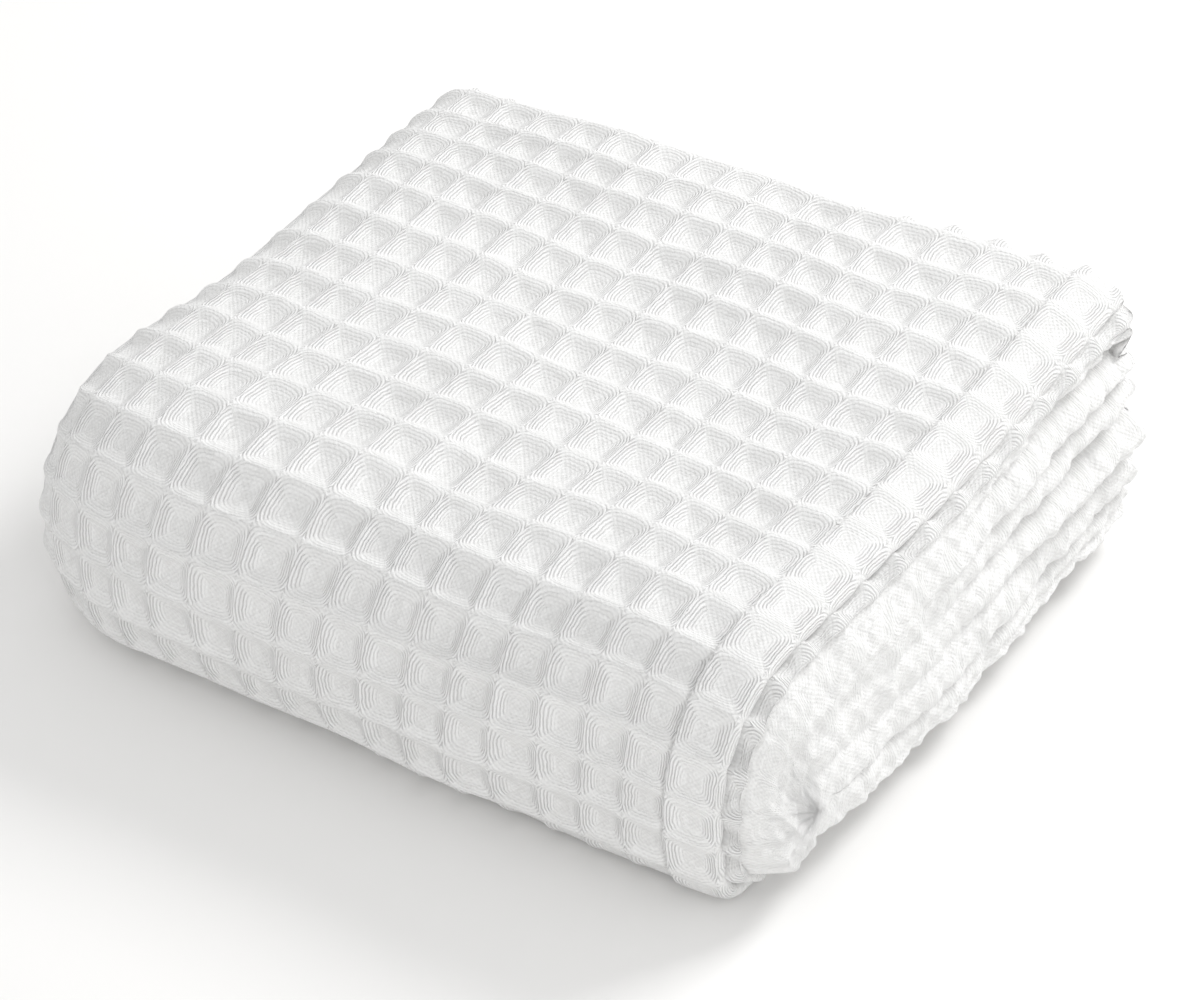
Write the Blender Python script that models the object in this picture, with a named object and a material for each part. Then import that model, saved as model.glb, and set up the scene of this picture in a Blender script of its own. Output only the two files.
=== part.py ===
"""A waffle weave cotton blanket, folded into a soft rectangular packet.

One cloth, laid back and forth. Three turns of it wrap round a rounded spine along the front,
each inside the one before, and eight flat layers lie between their arms. +X runs along the
spine towards the hemmed end, +Y towards the back, +Z up, and the packet lies on z = 0.
"""

import math

import bmesh
import bpy

NAME = "folded_blanket"

# Packet, in metres.
LENGTH = 0.336
DEPTH = 0.300
FRONT_HEIGHT = 0.105
BACK_HEIGHT = 0.114

# Cloth: how thick a layer is, as a share of the room it has in the stack.
LAYERS = 14
WRAPS = 3
FILL = 0.80

# Rounded spine along the front: its foremost line lies at SPINE_LEVEL, with a wide turn
# above it and a tight one below.
SPINE_LEVEL = 0.042
SPINE_UPPER_REACH = 0.060
SPINE_LOWER_REACH = 0.026
SPINE_STEPS = 7
SPINE_FULLNESS = 2.25

# The stack rises from RISE_FROM to RISE_TO, measured from the middle towards the back.
RISE_FROM = 0.010
RISE_TO = 0.132

RUN_STEPS = 6
TURN_STEPS = 4

# How far the turns lie from the middle: at the back in the order the cloth makes them, and at
# the front lowest first, between the flat layers only. Then the cloth's two ends.
BACK_TURNS = (0.146, 0.141, 0.143, 0.139, 0.144, 0.140)
FRONT_TURNS = (0.104, 0.110, 0.108, 0.094)
TOP_LAYER_END = 0.148
LAST_LAYER_END = 0.137

# How far each layer stops short of the packet's hemmed end, lowest layer first.
SET_BACK = (
    0.006, 0.002, 0.000, 0.003, 0.001, 0.004, 0.002,
    0.000, 0.003, 0.001, 0.004, 0.002, 0.001, 0.007,
)

SET_BACK_POWER = 12

# Shares of the depth that the sections' front and back moves reach over.
FRONT_SHARE = 0.35
BACK_SHARE = 0.35
SWELL_BLEND = 0.50

# Sections along the packet, hemmed end last.
# place: share of the length; height: share of the full height; lift: rise of the underside;
# front, back: how far the spine and the back edge move in; swell: rise of the back.
SECTIONS = (
    # place, height, lift, front, back, swell
    (0.000, 0.57, 0.022, 0.034, 0.026, 0.008),
    (0.008, 0.70, 0.015, 0.022, 0.018, 0.009),
    (0.025, 0.81, 0.009, 0.010, 0.013, 0.008),
    (0.055, 0.90, 0.004, 0.002, 0.012, 0.006),
    (0.110, 0.97, 0.000, -0.005, 0.012, 0.003),
    (0.220, 0.99, 0.000, -0.009, 0.012, 0.001),
    (0.360, 1.00, 0.000, -0.009, 0.010, 0.001),
    (0.520, 1.00, 0.000, -0.007, 0.007, 0.002),
    (0.700, 1.00, 0.000, -0.003, 0.004, 0.005),
    (0.850, 1.00, 0.000, -0.001, 0.002, 0.007),
    (0.940, 1.00, 0.000, 0.000, 0.002, 0.006),
    (1.000, 0.99, 0.000, 0.001, 0.004, 0.004),
)


def smooth(value):
    """0 below 0, 1 above 1 and an even S between them."""
    value = min(max(value, 0.0), 1.0)
    return value * value * (3.0 - 2.0 * value)


def stack_height(y):
    """Full height of the stack at y."""
    rise = smooth((y - RISE_FROM) / (RISE_TO - RISE_FROM))
    return FRONT_HEIGHT + (BACK_HEIGHT - FRONT_HEIGHT) * rise


def layer_pitch(y):
    """From one layer to the next at y, so that the lowest lies on z = 0 and the top one fits."""
    return stack_height(y) / (LAYERS - 1 + FILL)


def layer_level(layer, y):
    """Height of the middle of a layer at y; layer 0 is the lowest."""
    return layer_pitch(y) * (layer + FILL / 2)


def run(layer, start, end):
    """A flat stretch of one layer, both its ends included, as (y, z, set back) points."""
    points = []
    for step in range(RUN_STEPS + 1):
        y = start + (end - start) * step / RUN_STEPS
        points.append((y, layer_level(layer, y), SET_BACK[layer]))
    return points


def turn(layer, y, outward):
    """The half turn from a layer up to the next one; outward is 1 at the back, -1 at the front."""
    low, high = layer_level(layer, y), layer_level(layer + 1, y)
    middle, radius = (low + high) / 2, (high - low) / 2
    set_back = (SET_BACK[layer] + SET_BACK[layer + 1]) / 2
    points = []
    for step in range(1, TURN_STEPS):
        angle = math.pi * (step / TURN_STEPS - 0.5)
        reach = outward * radius * math.cos(angle)
        points.append((y + reach, middle + radius * math.sin(angle), set_back))
    return points


def spine(wrap):
    """One wrap's way round the front, from its upper arm down to its lower arm."""
    inset = (wrap + FILL / 2) * layer_pitch(-DEPTH / 2)
    foremost = -DEPTH / 2 + inset
    upper_reach = SPINE_UPPER_REACH - inset
    lower_reach = SPINE_LOWER_REACH - inset
    top = layer_level(LAYERS - 1 - wrap, foremost)
    bottom = layer_level(wrap, foremost)
    power = 2.0 / SPINE_FULLNESS
    set_back = SET_BACK[LAYERS - 1 - wrap]
    points = []
    for step in range(SPINE_STEPS + 1):
        angle = math.pi / 2 * step / SPINE_STEPS
        across, up = math.sin(angle) ** power, math.cos(angle) ** power
        y = foremost + upper_reach * (1.0 - across)
        points.append((y, SPINE_LEVEL + (top - SPINE_LEVEL) * up, set_back))
    for step in range(1, SPINE_STEPS):
        angle = math.pi / 2 * step / (SPINE_STEPS - 1)
        across, down = math.cos(angle) ** power, math.sin(angle) ** power
        y = foremost + lower_reach * (1.0 - across)
        points.append((y, SPINE_LEVEL - (SPINE_LEVEL - bottom) * down, set_back))
    return points


def cloth_line():
    """The whole cloth's (y, z, set back) line, from the top layer's end to the last layer's."""
    outer, middle, inner = (spine(wrap) for wrap in range(WRAPS))
    top = LAYERS - 1
    line = run(top, TOP_LAYER_END, outer[0][0])[:-1] + outer
    line += run(0, outer[-1][0], BACK_TURNS[0])[1:] + turn(0, BACK_TURNS[0], 1)
    line += run(1, BACK_TURNS[0], middle[-1][0])[:-1] + middle[::-1]
    line += run(top - 1, middle[0][0], BACK_TURNS[1])[1:]
    line += turn(top - 2, BACK_TURNS[1], 1)[::-1]
    line += run(top - 2, BACK_TURNS[1], inner[0][0])[:-1] + inner
    line += run(2, inner[-1][0], BACK_TURNS[2])[1:] + turn(2, BACK_TURNS[2], 1)
    back = BACK_TURNS[2]
    for pair, front_turn in enumerate(FRONT_TURNS):
        layer = WRAPS + 2 * pair
        line += run(layer, back, -front_turn)
        line += turn(layer, -front_turn, -1)
        last = pair == len(FRONT_TURNS) - 1
        back = LAST_LAYER_END if last else BACK_TURNS[3 + pair]
        line += run(layer + 1, -front_turn, back)
        if not last:
            line += turn(layer + 1, back, 1)
    return line


def faces_of_line(line):
    """For each point of the line, the two points on its cloth's faces, and its set back."""
    rows = []
    for index, (y, z, set_back) in enumerate(line):
        before = line[max(index - 1, 0)]
        after = line[min(index + 1, len(line) - 1)]
        along_y, along_z = after[0] - before[0], after[1] - before[1]
        length = math.hypot(along_y, along_z)
        half = FILL * layer_pitch(y) / 2
        step_y, step_z = -along_z / length * half, along_y / length * half
        rows.append((((y - step_y, z - step_z), (y + step_y, z + step_z)), set_back))
    return rows


def settle(y, z, height, lift, front, back, swell):
    """Where a point of the plain section lies in a section with these sizes."""
    share = (y + DEPTH / 2) / DEPTH
    raised = z + swell * z / stack_height(y) * smooth((share - BACK_SHARE) / SWELL_BLEND)
    moved_in = front * smooth(1.0 - share / FRONT_SHARE)
    moved_in -= back * smooth((share - 1.0 + BACK_SHARE) / BACK_SHARE)
    return y + moved_in, raised * height + lift


def next_section(bm, strip, numbers, drop_old_faces):
    """A copy of the section's faces, joined to them by the cloth's sides, and its points in order."""
    made = bmesh.ops.extrude_face_region(bm, geom=strip)
    if drop_old_faces:
        bmesh.ops.delete(bm, geom=strip, context="FACES")
    points = [item for item in made["geom"] if isinstance(item, bmesh.types.BMVert)]
    new_strip = [item for item in made["geom"] if isinstance(item, bmesh.types.BMFace)]
    return sorted(points, key=lambda point: point[numbers]), new_strip


def centre_over_origin(bm):
    """Moves the packet along Y so that the middle of its outline lies over the origin."""
    reach = [point.co.y for point in bm.verts]
    middle = (min(reach) + max(reach)) / 2
    bmesh.ops.translate(bm, verts=bm.verts, vec=(0.0, -middle, 0.0))


def cloth_material():
    material = bpy.data.materials.new("white_cotton")
    material.use_nodes = True
    shader = material.node_tree.nodes["Principled BSDF"]
    shader.inputs["Base Color"].default_value = (0.80, 0.79, 0.77, 1.0)
    shader.inputs["Roughness"].default_value = 0.92
    shader.inputs["Metallic"].default_value = 0.0
    return material


def build_blanket():
    rows = faces_of_line(cloth_line())
    plain = [(y, z, set_back) for pair, set_back in rows for y, z in pair]
    bm = bmesh.new()
    numbers = bm.verts.layers.int.new("number")
    section = [bm.verts.new((0.0, y, z)) for y, z, _ in plain]
    for number, point in enumerate(section):
        point[numbers] = number
    strip = []
    for first in range(0, len(section) - 2, 2):
        one, two, three, four = section[first:first + 4]
        strip.append(bm.faces.new((one, two, four, three)))
    for count, (place, *sizes) in enumerate(SECTIONS):
        if count > 0:
            section, strip = next_section(bm, strip, numbers, count > 1)
        for point, (plain_y, plain_z, set_back) in zip(section, plain):
            y, z = settle(plain_y, plain_z, *sizes)
            x = (place - 0.5) * LENGTH - set_back * place ** SET_BACK_POWER
            point.co = (x, y, z)
    centre_over_origin(bm)
    bmesh.ops.recalc_face_normals(bm, faces=bm.faces)
    mesh = bpy.data.meshes.new(NAME)
    bm.to_mesh(mesh)
    bm.free()
    mesh.shade_smooth()
    mesh.set_sharp_from_angle(angle=math.radians(50))
    mesh.materials.append(cloth_material())
    blanket = bpy.data.objects.new(NAME, mesh)
    bpy.context.scene.collection.objects.link(blanket)


def main():
    for obj in list(bpy.data.objects):
        bpy.data.objects.remove(obj, do_unlink=True)
    build_blanket()


main()
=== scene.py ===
"""A white waffle weave cotton blanket, folded into a soft packet, on a pale floor.

One cloth covers the packet and runs on, back and forth, inside it. Its cut end, with a stitched
hem, lies at +X. The folds inside show as a rim of rounded plies round the ends and the back.
"""

import math

import bmesh
import bpy
import numpy as np
from bpy.props import FloatProperty, FloatVectorProperty, PointerProperty
from mathutils import Matrix, Vector


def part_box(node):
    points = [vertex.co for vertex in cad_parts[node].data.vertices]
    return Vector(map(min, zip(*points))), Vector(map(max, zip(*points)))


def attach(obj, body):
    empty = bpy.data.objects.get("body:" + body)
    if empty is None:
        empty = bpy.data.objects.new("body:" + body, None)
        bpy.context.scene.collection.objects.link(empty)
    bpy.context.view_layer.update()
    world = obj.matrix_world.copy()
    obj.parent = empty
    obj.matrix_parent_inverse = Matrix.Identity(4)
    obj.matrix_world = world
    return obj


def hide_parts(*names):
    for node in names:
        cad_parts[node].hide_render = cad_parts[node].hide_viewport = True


bl_info = {
    "name": "Folded Waffle Blanket",
    "version": (1, 0, 0),
    "blender": (4, 5, 0),
    "location": "View3D > Sidebar > Blanket",
    "description": "Makes a folded waffle weave cotton blanket and the floor it lies on",
    "category": "Object",
}

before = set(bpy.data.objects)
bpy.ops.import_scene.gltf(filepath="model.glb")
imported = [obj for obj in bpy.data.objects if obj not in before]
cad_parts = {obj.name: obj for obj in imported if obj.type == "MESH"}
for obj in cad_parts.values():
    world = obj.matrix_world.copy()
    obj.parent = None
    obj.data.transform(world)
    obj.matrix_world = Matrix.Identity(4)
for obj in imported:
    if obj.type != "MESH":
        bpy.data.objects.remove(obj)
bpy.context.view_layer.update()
NODE = "folded_blanket"
LOW, HIGH = (Vector(corner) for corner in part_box(NODE))
LENGTH = HIGH.x - LOW.x

# Plain cross-section of the packet, in metres: its own zero lies this far in front of the
# middle of the outline.
SECTION_SHIFT = 0.0038
DEPTH = 0.300
FRONT_HEIGHT = 0.105
BACK_HEIGHT = 0.115
RISE_FROM = 0.000
RISE_TO = 0.140
SPINE_LEVEL = 0.042
SPINE_UPPER_REACH = 0.060
SPINE_LOWER_REACH = 0.026
SPINE_FULLNESS = 2.25
CURVE_STEPS = 900

# The back edge's place in the plain section, and how far the outline runs on past the depth.
BACK_REACH = 0.149
RUN_PAST_BACK = 0.030

# How the section changes along the packet. place: share of the length; height: share of the
# full height; lift: rise of the underside; front, back: how far the spine and the back edge
# move in; swell: rise of the back.
SECTIONS = (
    # place, height, lift, front, back, swell
    (0.000, 0.57, 0.022, 0.034, 0.026, 0.008),
    (0.008, 0.70, 0.015, 0.022, 0.018, 0.009),
    (0.025, 0.81, 0.009, 0.010, 0.013, 0.008),
    (0.055, 0.90, 0.004, 0.002, 0.012, 0.006),
    (0.110, 0.97, 0.000, -0.005, 0.012, 0.003),
    (0.220, 0.99, 0.000, -0.009, 0.012, 0.001),
    (0.360, 1.00, 0.000, -0.009, 0.010, 0.001),
    (0.520, 1.00, 0.000, -0.007, 0.007, 0.002),
    (0.700, 1.00, 0.000, -0.003, 0.004, 0.005),
    (0.850, 1.00, 0.000, -0.001, 0.002, 0.007),
    (0.940, 1.00, 0.000, 0.000, 0.002, 0.006),
    (1.000, 0.99, 0.000, 0.001, 0.004, 0.004),
)
FRONT_SHARE = 0.35
BACK_SHARE = 0.35
SWELL_BLEND = 0.50

# The crease in the middle of the folds: its front end and how softly it starts there, and its
# height from there to the back.
CREASE_FRONT = -0.100
CREASE_SOFT = 0.010
CREASE_HEIGHTS = (
    # y, z
    (-0.100, 0.034),
    (-0.060, 0.029),
    (0.000, 0.025),
    (0.060, 0.027),
    (0.150, 0.029),
)

# The cover's rounded edges: the radius it turns in with, where its two ends lie, and how far it
# runs on inside.
LEFT_ROLL = 0.0085
BACK_ROLL = 0.0068
HEM_ROLL = 0.0034
LEFT_TIP = -0.1680
HEM_TIP = 0.1600
RUN_INSIDE = 0.010

# Where the folds are thinner than this from their face to the crease, the plies' edges are
# pressed closer together in proportion.
THIN_ARM = 0.034

# The cover's mesh: faces to a cell on the top and on the underside, which starts so far past
# the spine's foremost line, and the extra columns in a band either side of the seam.
COVER_STEPS = 12
UNDERSIDE_STEPS = 6
UNDERSIDE_FROM = 0.055
SEAM_COLUMNS = 14
SEAM_BAND = 0.0024

# The hem. The weave is flatter from the seam on, over FLAT_OVER, and a little from NEAR_FROM
# before it, over NEAR_OVER. Down the front, from FRONT_FROM along the cloth, it is less flat.
FLAT_SHARE = 0.50
FLAT_OVER = 0.0016
NEAR_SHARE = 0.15
NEAR_FROM = 0.018
NEAR_OVER = 0.016
FRONT_LESS_FLAT = 0.25
FRONT_FROM = 0.24
FRONT_OVER = 0.08

# The hem's strip stands up by HEM_THICK, up to HEM_END, and droops from DROOP_FROM on: by the
# first amount everywhere, and by the second on the top, which ends so far along the cloth.
HEM_THICK = 0.0007
HEM_END = 0.1575
HEM_END_OVER = 0.004
DROOP_FROM = 0.140
DROOP_OVER = 0.020
DROOP = (0.0015, 0.0022)
TOP_START_OVER = 0.05
TOP_END = 0.26
TOP_END_OVER = 0.10

# The seam: how deep it pulls the cloth in, how wide the groove is before and past the stitches,
# and the stitches' thread.
SEAM_GROOVE = 0.0019
GROOVE_BEFORE = 0.0022
GROOVE_PAST = 0.0005
PUCKER = 0.30
THREAD_RADIUS = 0.0003
STITCH_GAP = 1.2

# How much flatter the weave is pressed under the packet, and from where past the spine.
UNDER_PRESS = 0.70
PRESS_FROM = 0.022
PRESS_OVER = 0.030

# How far the cover lies under the packet's face on average.
COVER_LOW = 0.0008

# Weave grid: where one of the ridges lies, along X and from the back edge along the cloth.
RIDGE_X = 0.1400
RIDGE_ALONG = 0.0690

# The ridges that run along the packet and those that cross them: how round their tops and how
# steep their sides are. The cross ridges are lower, and where two ridges meet they dip a little.
LONG_RIDGE = (0.20, 3.0)
CROSS_RIDGE = (0.14, 2.6)
CROSS_HEIGHT = 0.78
RIDGE_BLEND = 4
KNOT_DIP = 0.12

# Unevenness: of the cells' places, in cells, and how much of it the places along the cloth get;
# of their depth, as a share; and of the cloth as a whole, in metres. Each row is a wave for
# ripple().
ALONG_DRIFT = 0.8
CELL_DRIFT = (
    (0.050, 0.61, 0.37, 0.4),
    (0.035, -0.43, 1.13, 2.1),
    (0.025, 1.70, 0.90, 4.0),
)
DEPTH_DRIFT = (
    (0.10, 0.9, 0.5, 1.0),
    (0.08, -0.7, 1.9, 3.0),
    (0.07, 2.3, -1.1, 0.3),
)
SOFT_SWELL = (
    (0.0008, 41.0, 23.0, 0.7),
    (0.0007, -29.0, 47.0, 2.2),
    (0.0005, 83.0, 61.0, 4.4),
)

# How far the cloth is pulled forward and sideways: one row for each place along X, one column
# for each place round the packet.
PULL_X = (-0.100, 0.000, 0.090, 0.135)
PULL_ALONG = (0.04, 0.10, 0.20, 0.27, 0.34, 0.42)
WEAVE_FORWARD = (
    (0.0025, 0.0045, 0.0080, 0.0105, 0.0080, 0.0060),
    (0.0000, 0.0030, 0.0105, 0.0070, 0.0050, 0.0040),
    (0.0070, 0.0080, 0.0076, 0.0080, 0.0010, 0.0010),
    (0.0070, 0.0080, 0.0076, 0.0080, 0.0010, 0.0010),
)
WEAVE_SIDEWAYS = (
    (-0.0103, -0.0096, -0.0090, -0.0080, -0.0060, -0.0050),
    (-0.0070, -0.0050, -0.0005, 0.0015, 0.0015, 0.0010),
    (-0.0016, -0.0024, 0.0003, 0.0020, 0.0020, 0.0010),
    (0.0, 0.0, 0.0, 0.0, 0.0, 0.0),
)

# The hidden layers: how many, their lowest and highest level, and their outline.
INSIDE_LAYERS = 12
INSIDE_LEVELS = (0.014, 0.094)
INSIDE_FRONT_BACK = (-0.108, 0.118)
INSIDE_LEFT_RIGHT = (-0.132, 0.128)
INSIDE_STEPS = 8


def smooth(value):
    """0 below 0, 1 above 1 and an even S between them."""
    value = np.clip(value, 0.0, 1.0)
    return value * value * (3.0 - 2.0 * value)


def eased(at, places, values):
    """A smooth curve through a table's points."""
    places, values = np.asarray(places, float), np.asarray(values, float)
    slopes = np.gradient(values, places)
    left = np.clip(np.searchsorted(places, at) - 1, 0, len(places) - 2)
    width = places[left + 1] - places[left]
    t = np.clip((at - places[left]) / width, 0.0, 1.0)
    rise = values[left + 1] - values[left]
    bend = (1.0 - t) * (slopes[left] * width - rise) - t * (slopes[left + 1] * width - rise)
    return values[left] + rise * t + t * (1.0 - t) * bend


def ripple(u, v, waves):
    """A sum of waves over u and v; each row of waves is (size, across, along, turn)."""
    total = np.zeros(np.broadcast(u, v).shape)
    for size, across, along, turn in waves:
        total += size * np.sin(across * u + along * v + turn)
    return total


def top_height(y):
    """The plain section's height at y."""
    rise = smooth((y - RISE_FROM) / (RISE_TO - RISE_FROM))
    return FRONT_HEIGHT + (BACK_HEIGHT - FRONT_HEIGHT) * rise


def plain_outline():
    """The section's outline from the top's back edge round the spine to the underside's."""
    top_from = DEPTH / 2 + RUN_PAST_BACK
    shoulder = -DEPTH / 2 + SPINE_UPPER_REACH
    heel = -DEPTH / 2 + SPINE_LOWER_REACH
    top_y = np.linspace(top_from, shoulder, CURVE_STEPS)
    top_z = top_height(top_y)
    turn = np.linspace(0.0, math.pi / 2, CURVE_STEPS)[1:]
    power = 2.0 / SPINE_FULLNESS
    upper_y = -DEPTH / 2 + SPINE_UPPER_REACH * (1.0 - np.sin(turn) ** power)
    upper_z = SPINE_LEVEL + (FRONT_HEIGHT - SPINE_LEVEL) * np.abs(np.cos(turn)) ** power
    lower_y = -DEPTH / 2 + SPINE_LOWER_REACH * (1.0 - np.abs(np.cos(turn)) ** power)
    lower_z = SPINE_LEVEL * (1.0 - np.sin(turn) ** power)
    under_y = np.linspace(heel, top_from, CURVE_STEPS)[1:]
    y = np.concatenate((top_y, upper_y, lower_y, under_y))
    z = np.concatenate((top_z, upper_z, lower_z, np.zeros(len(under_y))))
    along = np.concatenate(([0.0], np.cumsum(np.hypot(np.diff(y), np.diff(z)))))
    start = np.interp(-BACK_REACH, -top_y, along[: len(top_y)])
    return along - start, y, z


OUTLINE_ALONG, OUTLINE_Y, OUTLINE_Z = plain_outline()
FOREMOST = float(OUTLINE_ALONG[np.argmin(OUTLINE_Y)])
AROUND = float(OUTLINE_ALONG[-1] - (DEPTH / 2 + RUN_PAST_BACK - BACK_REACH))


def section_sizes(x, first, last):
    """The columns of SECTIONS from first to last, at x."""
    places = [row[0] for row in SECTIONS]
    columns = ([row[column] for row in SECTIONS] for column in range(first, last + 1))
    return [eased(x / LENGTH + 0.5, places, values) for values in columns]


def settled(x, y, z):
    """Where a point of the plain section lies in the packet's section at x."""
    height, lift, front, back, swell = section_sizes(x, 1, 5)
    share = (y + DEPTH / 2) / DEPTH
    raised = z + swell * z / top_height(y) * smooth((share - BACK_SHARE) / SWELL_BLEND)
    moved = front * smooth(1.0 - share / FRONT_SHARE)
    moved = moved - back * smooth((share - 1.0 + BACK_SHARE) / BACK_SHARE)
    return y + moved + SECTION_SHIFT, raised * height + lift


def face(x, along):
    """The packet's outer face at x, and along the cloth's way round it, as (y, z)."""
    y = np.interp(along, OUTLINE_ALONG, OUTLINE_Y)
    z = np.interp(along, OUTLINE_ALONG, OUTLINE_Z)
    return settled(x, y, z)


def way_in(x, along):
    """From a point of the outer face towards the crease, as (step y, step z, distance)."""
    y, z = face(x, along)
    over = y - CREASE_FRONT
    inner_y = CREASE_FRONT + (over + np.sqrt(over * over + CREASE_SOFT * CREASE_SOFT)) / 2
    inner_z = eased(inner_y, *zip(*CREASE_HEIGHTS))
    height, lift = section_sizes(x, 1, 2)
    inner_z = inner_z * height + lift
    step_y, step_z = inner_y - y, inner_z - z
    distance = np.hypot(step_y, step_z)
    return step_y / distance, step_z / distance, distance


def under(x, along, deep):
    """The point that lies deep under the outer face, as an array of (x, y, z) rows."""
    y, z = face(x, along)
    step_y, step_z, _ = way_in(x, along)
    return np.stack((x, y + step_y * deep, z + step_z * deep), axis=-1)


def ridge_nearness(cells):
    """0 in the middle of a cell and 1 on its ridges."""
    return np.abs((cells % 1.0) * 2.0 - 1.0)


def crest(near, roundness):
    """A ridge's height where near is 1 on its line, with its top rounded off."""
    return 1.0 + roundness - np.sqrt((1.0 - near) ** 2 + roundness * roundness)


def hollow(across, along):
    """How deep the weave lies below its ridges, from 0 to about 1, at a place in cells."""
    a, b = ridge_nearness(across), ridge_nearness(along)
    long_ridge = np.maximum(crest(b, LONG_RIDGE[0]), 0.0) ** LONG_RIDGE[1]
    cross_ridge = CROSS_HEIGHT * np.maximum(crest(a, CROSS_RIDGE[0]), 0.0) ** CROSS_RIDGE[1]
    wall = (long_ridge**RIDGE_BLEND + cross_ridge**RIDGE_BLEND) ** (1 / RIDGE_BLEND)
    return 1.0 - np.minimum(wall, 1.0) + KNOT_DIP * (a * b) ** 6


def pulled(x, along, table):
    """A pull table's value at x and along."""
    rows = np.array([np.interp(along, PULL_ALONG, row) for row in table])
    at = np.interp(x, PULL_X, range(len(PULL_X)))
    low = np.minimum(at.astype(int), len(PULL_X) - 2)
    here = np.arange(len(at))
    return rows[low, here] + (rows[low + 1, here] - rows[low, here]) * (at - low)


def weave_place(x, along, sizes):
    """Where the cloth is in its weave, counted in cells, with a hand's unevenness."""
    across = (x - pulled(x, along, WEAVE_SIDEWAYS) - RIDGE_X) / sizes.cell_width
    length = (along - pulled(x, along, WEAVE_FORWARD) - RIDGE_ALONG) / sizes.cell_length
    shift = ripple(across, length, CELL_DRIFT)
    return across + shift, length + ALONG_DRIFT * ripple(length, across, CELL_DRIFT)


def grid_sheet(columns, rows, place, closed=False, turned_over=False):
    """A sheet of columns by rows faces; place gives points and weave cells from (u, v) in 0..1."""
    bm = bmesh.new()
    bmesh.ops.create_grid(bm, x_segments=columns, y_segments=rows, size=0.5)
    u = np.array([vert.co.x for vert in bm.verts]) + 0.5
    v = np.array([vert.co.y for vert in bm.verts]) + 0.5
    points, across, along = place(u, v)
    weave = bm.loops.layers.uv.new("weave")
    for vert, point in zip(bm.verts, points):
        vert.co = point
    cells = list(zip(across.tolist(), along.tolist()))
    bm.verts.index_update()
    for loop_face in bm.faces:
        loop_face.smooth = True
        for loop in loop_face.loops:
            loop[weave].uv = cells[loop.vert.index]
    if closed:
        seam = [vert for vert, at in zip(bm.verts, u) if at < 1e-6 or at > 1.0 - 1e-6]
        bmesh.ops.remove_doubles(bm, verts=seam, dist=1e-5)
    if turned_over:
        bmesh.ops.reverse_faces(bm, faces=bm.faces)
    return bm


def rolled(at, edge, radius):
    """A cloth's turn round an edge: its foot, its reach beyond the foot and its turn angle."""
    beyond = np.maximum(0.0, at - edge)
    return np.where(beyond > 0.0, edge, at), beyond, beyond / radius


def cover_stops():
    """Where the cover starts to turn in across, and its span across and along, in metres."""
    left_edge = LEFT_TIP + LEFT_ROLL
    hem_edge = HEM_TIP - HEM_ROLL
    first_x = left_edge - math.pi * LEFT_ROLL - RUN_INSIDE
    last_x = hem_edge + math.pi * HEM_ROLL + RUN_INSIDE
    reach = math.pi * BACK_ROLL + RUN_INSIDE
    return left_edge, hem_edge, first_x, last_x, -reach + BACK_ROLL, AROUND + reach - BACK_ROLL


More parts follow.
